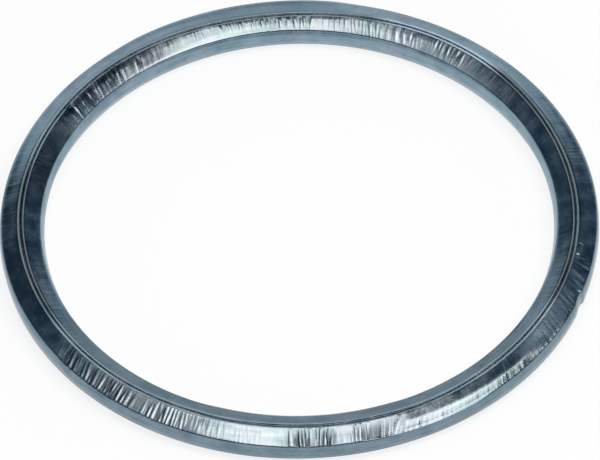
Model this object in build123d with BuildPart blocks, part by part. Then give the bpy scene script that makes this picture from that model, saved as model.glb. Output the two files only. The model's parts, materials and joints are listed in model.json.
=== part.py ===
from build123d import *
import os
from math import hypot

os.makedirs("parts", exist_ok=True)

# Driving sizes of the ring, in millimetres: the ridge stands between the bore and the rim
bore_diameter = 68.0
inner_reach = 3.0
outer_reach = 3.0
height = 4.4
sheet = 0.35

# Each wall bulges: a short straight land at mid height, and shoulders that stand back from it
wall_land = 0.5
outer_wall_height = 2.2
inner_wall_height = 2.6
outer_bulge = 0.22
inner_bulge = 0.4

# The two edges of the sheet meet on the ridge, each as a narrow flat lip
seam_gap = 0.28
lip_width = 0.34

# Crease marks where the two flaps were gathered as they were folded in
outer_crease_count = 102
inner_crease_count = 90
crease_depth = 0.08
crease_width = 0.5
crease_length = 1.5

# A small knock in the outer wall, to the right of the front
nick_angle = -19.0
nick_depth = 0.25
nick_radius = 1.3

inner_radius = bore_diameter / 2
ridge = inner_radius + inner_reach
outer_radius = ridge + outer_reach
middle = height / 2
lip_end = seam_gap / 2 + lip_width

# Corners of the section's skin, round from the ridge and back: distance from the axis, height
outer_crest = (ridge + lip_end, height)
outer_shoulder = (outer_radius - outer_bulge, middle + outer_wall_height / 2)
inner_shoulder = (inner_radius + inner_bulge, middle + inner_wall_height / 2)
inner_crest = (ridge - lip_end, height)
skin = [
    outer_crest,
    outer_shoulder,
    (outer_radius, middle + wall_land / 2),
    (outer_radius, middle - wall_land / 2),
    (outer_radius - outer_bulge, middle - outer_wall_height / 2),
    (ridge + lip_end, 0),
    (ridge - lip_end, 0),
    (inner_radius + inner_bulge, middle - inner_wall_height / 2),
    (inner_radius, middle - wall_land / 2),
    (inner_radius, middle + wall_land / 2),
    inner_shoulder,
    inner_crest,
]


def crease_wedge(deep, shallow):
    """A wedge laid on a flap: its keel is deepest near one corner and rises to the surface."""
    run = shallow[0] - deep[0]
    rise = shallow[1] - deep[1]
    margin = (1 - crease_length / hypot(run, rise)) / 2
    start = (deep[0] + margin * run, 0, deep[1] + margin * rise)
    across = Plane(origin=start, x_dir=(0, 1, 0), z_dir=(run, 0, rise))
    down = -1 if across.y_dir.Z > 0 else 1
    keel = across.from_local_coords((0, -down * crease_depth, crease_length)) - across.origin
    with BuildPart() as wedge:
        with BuildSketch(across):
            with BuildLine():
                Polyline(
                    (0, down * crease_depth),
                    (crease_width, -down * crease_depth),
                    (-crease_width, -down * crease_depth),
                    close=True,
                )
            make_face()
        extrude(amount=keel.length, dir=keel)
    return wedge.part


outer_crease = crease_wedge(outer_shoulder, outer_crest)
inner_crease = crease_wedge(inner_crest, inner_shoulder)

# The ring is one strip of sheet, folded round until its two edges meet at the seam
with BuildPart() as gasket_ring:
    with BuildSketch(Plane.XZ):
        with BuildLine():
            Polyline(*skin, close=True)
        make_face()
        with BuildLine():
            Polyline(*skin, close=True)
            offset(amount=-sheet, kind=Kind.INTERSECTION)
        make_face(mode=Mode.SUBTRACT)
        with Locations((ridge, height)):
            Rectangle(seam_gap, 3 * sheet, mode=Mode.SUBTRACT)
    revolve(axis=Axis.Z)
    with PolarLocations(0, outer_crease_count):
        add(outer_crease, mode=Mode.SUBTRACT)
    with PolarLocations(0, inner_crease_count):
        add(inner_crease, mode=Mode.SUBTRACT)
    with PolarLocations(outer_radius - nick_depth + nick_radius, 1, start_angle=nick_angle):
        with Locations((0, 0, middle)):
            Sphere(nick_radius, mode=Mode.SUBTRACT)

gasket_ring.part.label = "gasket_ring"
export_step(gasket_ring.part, "parts/gasket_ring.step")
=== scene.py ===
import json
import math

import bmesh
import bpy
from mathutils import Matrix, Vector


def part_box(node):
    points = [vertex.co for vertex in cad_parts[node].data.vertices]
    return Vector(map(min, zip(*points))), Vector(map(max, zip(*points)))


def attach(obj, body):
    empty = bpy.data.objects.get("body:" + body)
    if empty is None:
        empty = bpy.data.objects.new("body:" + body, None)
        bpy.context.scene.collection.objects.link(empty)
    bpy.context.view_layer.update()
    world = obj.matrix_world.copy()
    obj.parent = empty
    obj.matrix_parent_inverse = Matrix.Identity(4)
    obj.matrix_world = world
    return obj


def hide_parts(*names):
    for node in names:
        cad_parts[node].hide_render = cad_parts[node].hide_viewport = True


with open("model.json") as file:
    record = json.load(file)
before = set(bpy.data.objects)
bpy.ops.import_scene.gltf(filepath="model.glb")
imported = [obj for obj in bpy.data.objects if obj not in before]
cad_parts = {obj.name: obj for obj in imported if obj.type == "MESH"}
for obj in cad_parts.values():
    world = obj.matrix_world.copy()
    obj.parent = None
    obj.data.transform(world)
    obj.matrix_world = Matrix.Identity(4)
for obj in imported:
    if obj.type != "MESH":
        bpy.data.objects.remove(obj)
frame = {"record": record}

scene = bpy.context.scene
mm = 0.001

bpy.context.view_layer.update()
ringLow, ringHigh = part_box("gasket_ring")
mounts = {mount["name"]: mount for mount in frame["record"]["mounts"]}
boreRadius = mounts["pipe_bore"]["dims"]["r_mm"]   # the section is worked out in millimetres
rimRadius = mounts["recess_rim"]["dims"]["r_mm"]
ridgeRadius = (boreRadius + rimRadius) / 2
ringHeight = (ringHigh.z - ringLow.z) / mm
midHeight = ringHeight / 2


# small helpers for node trees

def putValue(tree, socket, value):
    if isinstance(value, bpy.types.NodeSocket):
        tree.links.new(value, socket)
    else:
        socket.default_value = value


def addNode(tree, kind, inputs=None, **settings):
    node = tree.nodes.new(kind)
    for name, value in settings.items():
        setattr(node, name, value)
    for key, value in (inputs or {}).items():
        putValue(tree, node.inputs[key], value)
    return node


def calc(tree, operation, *values):
    node = addNode(tree, "ShaderNodeMath", operation=operation)
    for socket, value in zip(node.inputs, values):
        putValue(tree, socket, value)
    return node.outputs[0]


def product(tree, first, *others):
    for other in others:
        first = calc(tree, "MULTIPLY", first, other)
    return first


def vectorCalc(tree, operation, *values):
    node = addNode(tree, "ShaderNodeVectorMath", operation=operation)
    for socket, value in zip(node.inputs, values):
        putValue(tree, socket, value)
    return node.outputs["Value" if operation == "LENGTH" else "Vector"]


def combine(tree, x, y, z):
    return addNode(tree, "ShaderNodeCombineXYZ", {"X": x, "Y": y, "Z": z}).outputs[0]


def ease(tree, value, start, end, low=0.0, high=1.0):
    inputs = {"Value": value, "From Min": start, "From Max": end, "To Min": low, "To Max": high}
    return addNode(tree, "ShaderNodeMapRange", inputs, interpolation_type="SMOOTHSTEP").outputs[0]


def between(tree, value, rising, falling):
    # 1 between the two slopes and 0 outside them
    return product(tree, ease(tree, value, *rising), ease(tree, value, *falling, 1.0, 0.0))


def blend(tree, factor, first, second):
    return addNode(tree, "ShaderNodeMix", {"Factor": factor, "A": first, "B": second}).outputs[0]


def noise(tree, vector, scale, detail, roughness=0.5):
    inputs = {"Vector": vector, "Scale": scale, "Detail": detail, "Roughness": roughness}
    return addNode(tree, "ShaderNodeTexNoise", inputs).outputs[0]


# the folded section: outside of the sheet from one lip round to the other, then back along its inside

sectionSettings = {
    "seamGap": 0.04,
    "lipWidth": 0.37,
    "lipMiddle": 0.6,
    "sheet": 0.33,
    "outerShoulder": (0.16, 1.23, 1.1),   # back from the wall, above mid height, below mid height
    "innerShoulder": (0.43, 1.27, 1.47),
    "wallCrown": 0.03,
    "lipBend": 0.03,
    "shoulderBend": 0.3,
    "lowerBend": 0.14,
    "footBend": 0.6,
    "bendRoom": 0.45,   # share of a straight stretch that one bend may take
    "flapSteps": 7,
    "insideStride": 7,
}


def bend(before, corner, after, radius, steps):
    toBefore = (before - corner).normalized()
    toAfter = (after - corner).normalized()
    half = toBefore.angle(toAfter) / 2
    room = sectionSettings["bendRoom"] * min((before - corner).length, (after - corner).length)
    reach = min(radius / math.tan(half), room)
    centre = corner + (toBefore + toAfter).normalized() * (reach / math.cos(half))
    start = corner + toBefore * reach - centre
    end = corner + toAfter * reach - centre
    turn = math.atan2(start.x * end.y - start.y * end.x, start.dot(end))
    return [centre + Matrix.Rotation(turn * step / steps, 2) @ start for step in range(steps + 1)]


def sectionHalf(side, wallRadius, shoulder):
    # from the lip over the flap and the wall to the foot, side is 1 outwards and -1 towards the bore
    # each point: place, share of the way down the flap, how much it belongs to the flap,
    # and how near it is to the lip's edge
    settings = sectionSettings
    back, above, below = shoulder
    tip = Vector((ridgeRadius + side * settings["seamGap"] / 2, ringHeight))
    lipEnd = Vector((tip.x + side * settings["lipWidth"], ringHeight))
    upper = Vector((wallRadius - side * back, midHeight + above))
    crown = Vector((wallRadius, midHeight))
    lower = Vector((upper.x, midHeight - below))
    foot = Vector((lipEnd.x, 0))
    footMiddle = Vector((ridgeRadius, 0))
    beforeTip = tip - Vector((0, settings["sheet"]))
    lipMiddle = settings["lipMiddle"]
    points = [(p, 0.0, 1.0, 1.0) for p in bend(beforeTip, tip, lipEnd, settings["lipBend"], 2)]
    points.append((tip.lerp(lipEnd, lipMiddle), 0.0, 1.0, 1.0 - lipMiddle))
    points += [(p, 0.0, 1.0, 0.0) for p in bend(tip, lipEnd, upper, settings["lipBend"], 1)]
    steps = settings["flapSteps"]
    shoulderArc = bend(lipEnd, upper, crown, settings["shoulderBend"], 2)
    flapStart = points[-1][0]
    for step in range(1, steps):
        points.append((flapStart.lerp(shoulderArc[0], step / steps), step / steps, 1.0, 0.0))
    for step, p in enumerate(shoulderArc):
        points.append((p, 1.0, 1.0 - step / 2, 0.0))
    wallBulge = Vector((side * settings["wallCrown"], 0))
    wallPoints = [shoulderArc[-1].lerp(crown, 0.5) + wallBulge, crown]
    wallPoints += bend(crown, lower, foot, settings["lowerBend"], 1)
    wallPoints += bend(lower, foot, footMiddle, settings["footBend"], 1)
    points += [(p, 1.0, 0.0, 0.0) for p in wallPoints]
    return [(p, share, weight * side, lip) for p, share, weight, lip in points]


def buildSection():
    outside = sectionHalf(1, rimRadius, sectionSettings["outerShoulder"])
    outside += sectionHalf(-1, boreRadius, sectionSettings["innerShoulder"])[::-1]
    places = [point[0] for point in outside]
    lifts = []
    for index in range(len(places)):
        before = places[max(index - 1, 0)]
        after = places[min(index + 1, len(places) - 1)]
        run = after - before
        lifts.append(Vector((-run.y, run.x)).normalized())
    lifts[0] = lifts[-1] = Vector((0, 1))
    section = [(*point, lift) for point, lift in zip(outside, lifts)]
    # the inside follows every few points of the outside, one sheet deeper
    chosen = section[::sectionSettings["insideStride"]] + section[-1:]
    for p, share, side, lip, lift in chosen[::-1]:
        section.append((p - lift * sectionSettings["sheet"], share, side, lip, lift))
    mesh = bpy.data.meshes.new("sectionLine")
    # the sweep turns the profile's y downwards
    places = [((point[0].x - ridgeRadius) * mm, -point[0].y * mm, 0) for point in section]
    edges = [(index, (index + 1) % len(places)) for index in range(len(places))]
    mesh.from_pydata(places, edges, [])
    for column, name in enumerate(("flapShare", "flapSide", "lipEdge"), 1):
        values = [point[column] for point in section]
        mesh.attributes.new(name, "FLOAT", "POINT").data.foreach_set("value", values)
    flatLifts = [x for point in section for x in (point[4].x, point[4].y, 0)]
    mesh.attributes.new("lift", "FLOAT_VECTOR", "POINT").data.foreach_set("vector", flatLifts)
    print("section:", len(section), "points")
    return mesh


# the ring: the section swept round, with gathers, a wandering seam and a knock

ringSettings = {
    "Ridge Radius": ridgeRadius * mm,
    "Segments": 2000,
    "Crease Depth": 0.085 * mm,
    "Crease Spacing": 0.55 * mm,
    "Tongue Height": 0.04 * mm,
    "Flap Width": 2.5 * mm,
    "Knock Angle": math.radians(-20.5),
    "Knock Depth": 0.22 * mm,
    "Patch Height": 0.13 * mm,
    "Seed": 4,
}

# what changes round the ring: the value at rest, then a start, an end and a value for each sector,
# in degrees from the right, over the far side and on round
outerFlap = {
    "gathers": (0.1, [(216, 246, 0.8), (249, 264, 0.12), (267, 280, 1.5), (281, 292, 1.4),
                      (293, 308, 0.35), (309, 318, 0.6), (319, 338, 0.4), (340, 347, 0.8)]),
    "lean": (4.0, [(195, 226, 24.0), (272, 284, -7.0), (285, 345, -27.0)]),   # degrees
    "crown": (-0.025, [(268, 286, 0.02), (288, 322, 0.21)]),   # mm that the flap stands out
    "dip": (0.03, [(45, 70, 0.0), (75, 150, 0.02), (209, 249, 0.0), (252, 299, 0.045),
                   (304, 334, 0.0), (336, 350, 0.05)]),   # mm that the lip's edge hangs
    "shoulderOut": (0.0, [(80, 126, 0.07), (286, 308, 0.08)]),   # mm farther from the ring's axis
    "shoulderUp": (0.0, [(80, 126, 0.14), (286, 308, -0.16)]),   # mm higher
    # painted shade: the outer flap is darkened between 166 and 204 degrees
    "toneAndLight": (1.0, [(166, 204, 0.7)]),
}
innerFlap = {
    "gathers": (0.08, [(50, 70, 0.55), (72, 82, 0.5), (84, 104, 1.0), (106, 124, 0.4), (125, 149, 1.3)]),
    "lean": (0.0, [(50, 80, 13.0), (112, 156, -20.0)]),
    "crown": (0.01, [(54, 76, 0.04), (79, 106, 0.11), (107, 125, 0.03), (127, 149, 0.15)]),
    "dip": (0.03, [(45, 70, 0.0), (75, 150, 0.015), (250, 258, 0.0), (290, 308, 0.0)]),
    "shoulderOut": (0.0, [(248, 292, -0.09), (308, 330, 0.11)]),
    "shoulderUp": (0.0, [(248, 292, 0.08), (308, 330, -0.09)]),
    # painted light and shade: the inner flap is made brighter or darker sector by sector
    "toneAndLight": (1.0, [(48, 68, 1.3), (70, 128, 0.88), (130, 149, 0.8), (150, 170, 0.5), (205, 340, 0.7)]),
}
seamSettings = {
    "opening": (0.0, [(42, 72, 0.02), (166, 190, 0.03), (288, 335, 0.02)]),   # mm
    # painted highlight and shade on the lips: brighter where they should catch the back box, darker elsewhere
    "lipPaintedLight": (0.52, [(45, 72, 1.8), (75, 163, 0.9), (207, 335, 1.05)]),
    "lipShare": 0.06,   # share of the flap over which the lip's painted highlight and shade end
    # count round the ring, mm, shift in degrees
    "waves": [(1, 0.116, 89), (2, 0.091, -41), (3, 0.118, 9),
              (4, 0.112, 30), (5, 0.095, -29), (6, 0.058, -16)],
}
gatherSettings = {
    "stretch": 0.4,   # cells from the lip to the shoulder
    "flapShift": 7.0,   # keeps the gathers of the two flaps apart
    "tightness": (0.22, 0.33, 0.6, 0.4, 1.2),   # noise scale, noise from and to, strength from and to
    "valleyWidth": 0.27,   # shares of a cell
    "tongueSlope": (0.05, 0.45),
    "lipFade": (0.0, 0.14, 0.3, 1.0),   # share of the flap from and to, depth from and to
    "outerFade": (0.0, 0.8, 0.45, 1.0),
    "innerFade": (0.3, 0.75, 1.0, 0.28),
    "outerPeak": 0.62,   # share of the way down the flap where it stands out most
    "innerPeak": 0.29,
}
knockSettings = {
    "rising": (-2.2, -0.4),   # mm along the wall
    "falling": (0.1, 0.5),
    "rimBand": (1.0, 0.2),   # mm in from the rim
}
patchSettings = {
    "degrees": ((348.2, 348.7), (351.2, 351.7)),
    "share": ((0.0, 0.16), (0.2, 0.36)),
}


def bySector(tree, degrees, values, soft=4.0):
    # a value that changes from sector to sector round the ring
    rest, sectors = values
    total = rest
    for start, end, value in sectors:
        inside = between(tree, degrees, (start - soft, start + soft), (end - soft, end + soft))
        total = calc(tree, "ADD", total, product(tree, inside, value - rest))
    return total


def readAttribute(tree, name, kind):
    node = addNode(tree, "GeometryNodeInputNamedAttribute", {"Name": name}, data_type=kind)
    return node.outputs["Attribute"]


def keepAttribute(tree, geometry, name, value, kind):
    inputs = {"Geometry": geometry, "Name": name, "Value": value}
    node = addNode(tree, "GeometryNodeStoreNamedAttribute", inputs, data_type=kind, domain="POINT")
    return node.outputs[0]


def ringTree():
    tree = bpy.data.node_groups.new("ringSweep", "GeometryNodeTree")
    face = tree.interface
    face.new_socket("Geometry", in_out="INPUT", socket_type="NodeSocketGeometry")
    for name, value in ringSettings.items():
        kind = "NodeSocketInt" if isinstance(value, int) else "NodeSocketFloat"
        face.new_socket(name, in_out="INPUT", socket_type=kind)
    face.new_socket("Finish", in_out="INPUT", socket_type="NodeSocketMaterial")
    face.new_socket("Geometry", in_out="OUTPUT", socket_type="NodeSocketGeometry")
    given = addNode(tree, "NodeGroupInput").outputs

    line = addNode(tree, "GeometryNodeMeshToCurve", {"Mesh": given["Geometry"]}).outputs[0]
    circle = addNode(tree, "GeometryNodeCurvePrimitiveCircle",
                     {"Resolution": given["Segments"], "Radius": given["Ridge Radius"]}).outputs[0]
    upright = addNode(tree, "GeometryNodeSetCurveNormal", {"Curve": circle}, mode="Z_UP").outputs[0]
    swept = addNode(tree, "GeometryNodeCurveToMesh", {"Curve": upright, "Profile Curve": line}).outputs[0]

    share = readAttribute(tree, "flapShare", "FLOAT")
    side = readAttribute(tree, "flapSide", "FLOAT")
    lift = addNode(tree, "ShaderNodeSeparateXYZ", {0: readAttribute(tree, "lift", "FLOAT_VECTOR")}).outputs
    toSeam = calc(tree, "SUBTRACT", 1.0, share)
    onFlap = calc(tree, "ABSOLUTE", side)
    outer = calc(tree, "GREATER_THAN", side, 0.0)
    sign = calc(tree, "SUBTRACT", product(tree, outer, 2.0), 1.0)
    position = addNode(tree, "GeometryNodeInputPosition").outputs[0]
    parts = addNode(tree, "ShaderNodeSeparateXYZ", {0: position}).outputs
    angle = calc(tree, "ARCTAN2", parts["Y"], parts["X"])
    degrees = calc(tree, "FLOORED_MODULO", product(tree, angle, math.degrees(1)), 360.0)
    flat = combine(tree, parts["X"], parts["Y"], 0.0)
    outward = vectorCalc(tree, "NORMALIZE", flat)

    def perFlap(name):
        innerValue = bySector(tree, degrees, innerFlap[name])
        return blend(tree, outer, innerValue, bySector(tree, degrees, outerFlap[name]))

    # gathers: cells strung round the ring, which lean this way or that across each flap
    gathers = gatherSettings
    leanAngle = product(tree, perFlap("lean"), math.radians(1))
    lean = product(tree, calc(tree, "TANGENT", leanAngle), given["Flap Width"])
    lean = product(tree, calc(tree, "DIVIDE", lean, given["Ridge Radius"]), share)
    turned = calc(tree, "SUBTRACT", angle, product(tree, lean, sign))
    around = calc(tree, "DIVIDE", given["Ridge Radius"], given["Crease Spacing"])
    flapShift = calc(tree, "ADD", product(tree, sign, gathers["flapShift"]), given["Seed"])
    strung = combine(tree, product(tree, calc(tree, "COSINE", turned), around),
                     product(tree, calc(tree, "SINE", turned), around),
                     calc(tree, "ADD", product(tree, share, gathers["stretch"]), flapShift))
    toEdge = addNode(tree, "ShaderNodeTexVoronoi", {"Vector": strung, "Scale": 1.0},
                     feature="DISTANCE_TO_EDGE").outputs["Distance"]
    noiseScale, *tightRange = gathers["tightness"]
    tightness = ease(tree, noise(tree, strung, noiseScale, 2.0), *tightRange)
    strength = product(tree, perFlap("gathers"), tightness)
    offLip = ease(tree, share, *gathers["lipFade"])
    fade = blend(tree, outer, ease(tree, share, *gathers["innerFade"]),
                 ease(tree, share, *gathers["outerFade"]))
    valley = ease(tree, toEdge, 0.0, gathers["valleyWidth"], 1.0, 0.0)
    valley = product(tree, valley, strength, fade, onFlap, offLip)
    across = product(tree, share, toSeam, 4.0)   # 1 halfway down the flap
    tongue = product(tree, ease(tree, toEdge, *gathers["tongueSlope"]), strength, across, onFlap)
    rise = calc(tree, "SUBTRACT", product(tree, tongue, given["Tongue Height"]),
                product(tree, valley, given["Crease Depth"]))

    # each flap is a little crowned, the outer one nearer the wall, the inner one nearer the ridge
    peaks = []
    for peak in (gathers["innerPeak"], gathers["outerPeak"]):
        peaks.append(calc(tree, "MINIMUM", product(tree, share, 1 / peak), product(tree, toSeam, 1 / (1 - peak))))
    crown = product(tree, perFlap("crown"), blend(tree, outer, *peaks), onFlap, mm)
    # a small flat patch beside the seam, past the knock
    alongPatch = between(tree, degrees, *patchSettings["degrees"])
    acrossPatch = between(tree, share, *patchSettings["share"])
    patch = product(tree, alongPatch, acrossPatch, outer, onFlap, given["Patch Height"])
    rise = calc(tree, "ADD", rise, calc(tree, "ADD", crown, patch))
    shoulderOut = product(tree, perFlap("shoulderOut"), share, onFlap, mm)
    shoulderUp = product(tree, perFlap("shoulderUp"), share, onFlap, mm)

    # the seam wanders, and its lips stand a little apart or together
    wander = 0.0
    for count, reach, shift in seamSettings["waves"]:
        phase = product(tree, calc(tree, "SUBTRACT", angle, math.radians(shift)), count)
        wander = calc(tree, "ADD", wander, product(tree, calc(tree, "SINE", phase), reach * mm))
    apart = product(tree, bySector(tree, degrees, seamSettings["opening"]), sign, mm)
    wander = calc(tree, "ADD", wander, product(tree, apart, toSeam))
    wander = product(tree, wander, toSeam, onFlap)
    dip = product(tree, perFlap("dip"), readAttribute(tree, "lipEdge", "FLOAT"), mm)

    # the knock in the outer wall
    arc = product(tree, calc(tree, "SUBTRACT", angle, given["Knock Angle"]), given["Ridge Radius"])
    rising, falling = ([edge * mm for edge in knockSettings[name]] for name in ("rising", "falling"))
    bandStart, bandEnd = ((rimRadius - inwards) * mm for inwards in knockSettings["rimBand"])
    atRim = ease(tree, vectorCalc(tree, "LENGTH", flat), bandStart, bandEnd)
    knock = product(tree, between(tree, arc, rising, falling), atRim, given["Knock Depth"])

    radial = calc(tree, "ADD", product(tree, lift["X"], rise), wander)
    radial = calc(tree, "ADD", calc(tree, "SUBTRACT", radial, knock), shoulderOut)
    upwards = calc(tree, "SUBTRACT", product(tree, lift["Y"], rise), calc(tree, "SUBTRACT", dip, shoulderUp))
    sideways = vectorCalc(tree, "MULTIPLY", outward, combine(tree, radial, radial, radial))
    offset = vectorCalc(tree, "ADD", sideways, combine(tree, 0.0, 0.0, upwards))

    # what the finish reads, among it the painted light and shade of the flaps, the lips and the creases
    # painted light and shade: the brightness of the flaps and lips, set sector by sector
    atLip = ease(tree, share, 0.0, seamSettings["lipShare"], 1.0, 0.0)
    toneAndLight = blend(tree, atLip, perFlap("toneAndLight"), bySector(tree, degrees, seamSettings["lipPaintedLight"]))
    marked = keepAttribute(tree, swept, "gatherPlace", strung, "FLOAT_VECTOR")
    marked = keepAttribute(tree, marked, "crease", valley, "FLOAT")
    marked = keepAttribute(tree, marked, "onFlap", onFlap, "FLOAT")
    marked = keepAttribute(tree, marked, "strength", strength, "FLOAT")
    marked = keepAttribute(tree, marked, "flapPaintedLight", blend(tree, onFlap, 1.0, toneAndLight), "FLOAT")
    moved = addNode(tree, "GeometryNodeSetPosition", {"Geometry": marked, "Offset": offset}).outputs[0]
    smooth = addNode(tree, "GeometryNodeSetShadeSmooth", {"Geometry": moved, "Shade Smooth": True}).outputs[0]
    real = addNode(tree, "GeometryNodeRealizeInstances", {"Geometry": smooth}).outputs[0]
    done = addNode(tree, "GeometryNodeSetMaterial", {"Geometry": real, "Material": given["Finish"]})
    addNode(tree, "NodeGroupOutput", {"Geometry": done.outputs[0]})
    return tree


def buildRing(finish):
    tree = ringTree()
    maker = bpy.data.objects.new("sectionLine", buildSection())
    scene.collection.objects.link(maker)
    sweep = maker.modifiers.new("sweep", "NODES")
    sweep.node_group = tree
    sockets = {item.name: item.identifier for item in tree.interface.items_tree if item.in_out == "INPUT"}
    for name, value in ringSettings.items():
        sweep[sockets[name]] = value
    sweep[sockets["Finish"]] = finish
    depsgraph = bpy.context.evaluated_depsgraph_get()
    mesh = bpy.data.meshes.new_from_object(maker.evaluated_get(depsgraph), depsgraph=depsgraph)
    maker.modifiers.remove(sweep)
    bpy.data.objects.remove(maker)
    mesh.name = "foldedRing"
    work = bmesh.new()
    work.from_mesh(mesh)
    bmesh.ops.recalc_face_normals(work, faces=work.faces)
    if work.calc_volume(signed=True) < 0:
        bmesh.ops.reverse_faces(work, faces=work.faces)
    print("folded ring:", len(work.faces), "faces, volume", round(work.calc_volume() * 1e9), "cubic mm")
    work.to_mesh(mesh)
    work.free()
    ring = bpy.data.objects.new("foldedRing", mesh)
    scene.collection.objects.link(ring)
    return ring


# the metal

sheetSettings = {
    "paleTone": (0.275, 0.37, 0.435, 1),
    "deepTone": (0.16, 0.245, 0.305, 1),
    "lilacTone": (1.03, 0.99, 1.02, 1),
    "tealTone": (0.96, 1.02, 0.99, 1),
    # painted shade: the colour and share by which the crease valleys are darkened
    "creaseShadeTone": (0.04, 0.06, 0.08, 1),
    "creaseShadeShare": 0.75,
    # painted shade: how bright the outer wall is painted, darker than the rest of the sheet
    "outerWallShade": 0.8,
    "outerWallShadeBand": (2.0, 1.6),   # mm in from the rim over which that painted shade starts
    "polish": 0.15,
    "dull": 0.28,
    "clouds": (420.0, 6.0, 0.62),   # noise: scale, detail, roughness
    "streaks": (1.0, 3.0, 0.6),
    "streakStretch": (140.0, 140.0, 3000.0),
    "cast": (150.0, 2.0),
    "pleats": (2.1, 2.0, 0.6),
    "mottle": (900.0, 3.0),
    "bumpStrength": 0.36,
    "bumpDistance": 0.06 * mm,
}


def sheetFinish():
    settings = sheetSettings
    material = bpy.data.materials.new("platedSheet")
    material.use_nodes = True
    tree = material.node_tree
    shader = tree.nodes["Principled BSDF"]

    def kept(name, output="Fac"):
        return addNode(tree, "ShaderNodeAttribute", attribute_name=name).outputs[output]

    def mixTones(factor, first, second, mode="MIX"):
        inputs = {"Factor": factor, "A": first, "B": second}
        node = addNode(tree, "ShaderNodeMix", inputs, data_type="RGBA", blend_type=mode)
        return node.outputs["Result"]

    place = addNode(tree, "ShaderNodeTexCoord").outputs["Object"]
    onFlap = kept("onFlap")
    clouds = noise(tree, place, *settings["clouds"])
    # the sheet was rolled: faint streaks that run round the ring
    rolled = vectorCalc(tree, "MULTIPLY", place, settings["streakStretch"])
    streaks = noise(tree, rolled, *settings["streaks"])
    cast = noise(tree, place, *settings["cast"])

    patchy = calc(tree, "ADD", product(tree, clouds, 0.55), product(tree, streaks, 0.45))
    toneAndLight = mixTones(ease(tree, patchy, 0.36, 0.64), settings["deepTone"], settings["paleTone"])
    hue = mixTones(ease(tree, cast, 0.35, 0.65), settings["tealTone"], settings["lilacTone"])
    toneAndLight = mixTones(1.0, toneAndLight, hue, "MULTIPLY")
    # painted shade: the crease valleys are darkened towards a near-black colour
    toneAndLight = mixTones(product(tree, kept("crease"), settings["creaseShadeShare"]), toneAndLight, settings["creaseShadeTone"])
    # painted shade: the outer wall is darkened, standing in for the shadowed floor that it mirrors
    flat = vectorCalc(tree, "MULTIPLY", place, (1.0, 1.0, 0.0))
    bandStart, bandEnd = ((rimRadius - inwards) * mm for inwards in settings["outerWallShadeBand"])
    onShadedRim = product(tree, ease(tree, vectorCalc(tree, "LENGTH", flat), bandStart, bandEnd),
                    calc(tree, "SUBTRACT", 1.0, onFlap))
    paintedLevel = calc(tree, "ADD", 1.0, product(tree, onShadedRim, settings["outerWallShade"] - 1.0))
    # painted light and shade for the flaps and the lips, on top of the painted shade on the outer wall
    paintedLevel = product(tree, paintedLevel, kept("flapPaintedLight"))
    toneAndLight = mixTones(1.0, toneAndLight, combine(tree, paintedLevel, paintedLevel, paintedLevel), "MULTIPLY")
    putValue(tree, shader.inputs["Base Color"], toneAndLight)
    shader.inputs["Metallic"].default_value = 1.0
    roughness = ease(tree, clouds, 0.3, 0.7, settings["polish"], settings["dull"])
    putValue(tree, shader.inputs["Roughness"], roughness)

    # fine pleats on the flaps, faint mottling on the walls
    pleats = noise(tree, kept("gatherPlace", "Vector"), *settings["pleats"])
    pleats = product(tree, pleats, onFlap, calc(tree, "ADD", kept("strength"), 0.3))
    mottle = noise(tree, place, *settings["mottle"])
    grain = calc(tree, "ADD", product(tree, mottle, 0.15), product(tree, streaks, 0.2))
    bumpInputs = {
        "Height": calc(tree, "ADD", pleats, grain),
        "Strength": settings["bumpStrength"],
        "Distance": settings["bumpDistance"],
    }
    putValue(tree, shader.inputs["Normal"], addNode(tree, "ShaderNodeBump", bumpInputs).outputs[0])
    return material


# floor, light and camera

studioSettings = {
    "floorRadius": 3.0,
    "floorSegments": 96,
    "floorTone": (0.19, 0.22, 0.235, 1),
    "floorGlow": 0.82,
    "farGlow": 0.45,
    "fade": (0.12, 0.5),   # metres from the ring
    "skyline": (18.0, 24.5),   # degrees
    "skyLow": (0.8, 0.84, 0.88),
    "skyHigh": (0.05, 0.08, 0.125),
}
# soft boxes over the ring: metres, radiance in watts per square metre and steradian
boxSettings = {
    "topBox": {"place": (0.185, -0.151, 0.6), "width": 0.67, "depth": 0.398,
               "radiance": 4.1, "tint": (1.0, 0.8, 0.68)},
    "sideBox": {"place": (-0.29, -0.02, 0.6), "width": 0.26, "depth": 0.36,
                "radiance": 0.8, "tint": (1.0, 0.84, 0.74)},
    "rightBox": {"place": (0.48, 0.115, 0.6), "width": 0.18, "depth": 0.12,
                 "radiance": 3.2, "tint": (1.0, 0.8, 0.68)},
    "cornerBox": {"place": (0.39, 0.265, 0.6), "width": 0.24, "depth": 0.17,
                  "radiance": 0.42, "tint": (0.88, 0.93, 1.0)},
    "backBox": {"place": (0.0, 0.56, 0.63), "width": 0.34, "depth": 0.26,
                "radiance": 1.6, "tint": (1.0, 0.86, 0.77), "facesRing": True},
}


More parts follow.
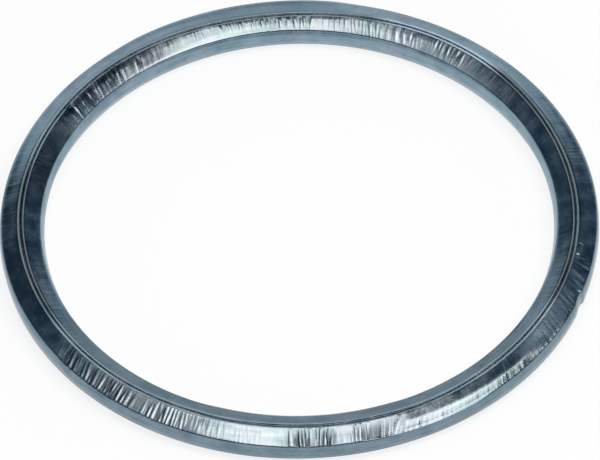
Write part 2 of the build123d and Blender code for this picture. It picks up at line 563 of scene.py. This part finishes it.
def buildFloor():
    settings = studioSettings
    mesh = bpy.data.meshes.new("floor")
    work = bmesh.new()
    bmesh.ops.create_circle(work, cap_ends=True, segments=settings["floorSegments"],
                            radius=settings["floorRadius"])
    work.to_mesh(mesh)
    work.free()
    floor = bpy.data.objects.new("floor", mesh)
    scene.collection.objects.link(floor)
    material = bpy.data.materials.new("paleFloor")
    material.use_nodes = True
    tree = material.node_tree
    shader = tree.nodes["Principled BSDF"]
    shader.inputs["Base Color"].default_value = settings["floorTone"]
    shader.inputs["Roughness"].default_value = 1.0
    shader.inputs["Specular IOR Level"].default_value = 0.0
    ray = addNode(tree, "ShaderNodeLightPath").outputs
    seen = calc(tree, "MAXIMUM", ray["Is Glossy Ray"], ray["Is Transmission Ray"])
    seen = calc(tree, "MAXIMUM", ray["Is Camera Ray"], seen)
    shader.inputs["Emission Color"].default_value = (1, 1, 1, 1)
    away = vectorCalc(tree, "LENGTH", addNode(tree, "ShaderNodeTexCoord").outputs["Object"])
    nearFade, farFade = settings["fade"]
    glow = ease(tree, away, nearFade, farFade, settings["floorGlow"], settings["farGlow"])
    putValue(tree, shader.inputs["Emission Strength"], product(tree, seen, glow))
    mesh.materials.append(material)


def buildBox(name, settings):
    lamp = bpy.data.lights.new(name, "AREA")
    lamp.shape = "RECTANGLE"
    lamp.size = settings["width"]
    lamp.size_y = settings["depth"]
    lamp.color = settings["tint"]
    lamp.energy = settings["radiance"] * math.pi * settings["width"] * settings["depth"]
    box = bpy.data.objects.new(name, lamp)
    box.location = settings["place"]
    if settings.get("facesRing"):
        box.rotation_euler = Vector(settings["place"]).to_track_quat("Z", "Y").to_euler()
    box.visible_camera = False
    scene.collection.objects.link(box)


def buildSky():
    settings = studioSettings
    world = bpy.data.worlds.new("studio")
    world.use_nodes = True
    scene.world = world
    tree = world.node_tree
    direction = addNode(tree, "ShaderNodeTexCoord").outputs["Generated"]
    upward = addNode(tree, "ShaderNodeSeparateXYZ", {0: direction}).outputs["Z"]
    low, high = (math.sin(math.radians(angle)) for angle in settings["skyline"])
    levels = []
    for near, far in zip(settings["skyLow"], settings["skyHigh"]):
        levels.append(ease(tree, upward, low, high, near, far))
    background = tree.nodes["Background"]
    putValue(tree, background.inputs["Color"], combine(tree, *levels))
    background.inputs["Strength"].default_value = 1.0


cameraSettings = {
    "elevation": 48.37,
    "roll": 1.25,
    "distance": 2.845,
    "lens": 1280.0,
    "aim": (0.00009, -0.00034, midHeight * mm),
}


def buildCamera():
    settings = cameraSettings
    lens = bpy.data.cameras.new("view")
    lens.sensor_width = 36
    lens.lens = settings["lens"]
    lens.clip_start = 0.05
    lens.clip_end = 20
    camera = bpy.data.objects.new("view", lens)
    tilt = math.radians(90 - settings["elevation"])
    turn = Matrix.Rotation(tilt, 4, "X") @ Matrix.Rotation(math.radians(-settings["roll"]), 4, "Z")
    aim = Matrix.Translation(Vector(settings["aim"]))
    camera.matrix_world = aim @ turn @ Matrix.Translation((0, 0, settings["distance"]))
    scene.collection.objects.link(camera)
    scene.camera = camera


ring = buildRing(sheetFinish())
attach(ring, "root")
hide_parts("gasket_ring")
buildFloor()
for boxName, box in boxSettings.items():
    buildBox(boxName, box)
buildSky()
buildCamera()
scene.view_settings.view_transform = "Standard"
print("studio and camera are in place")
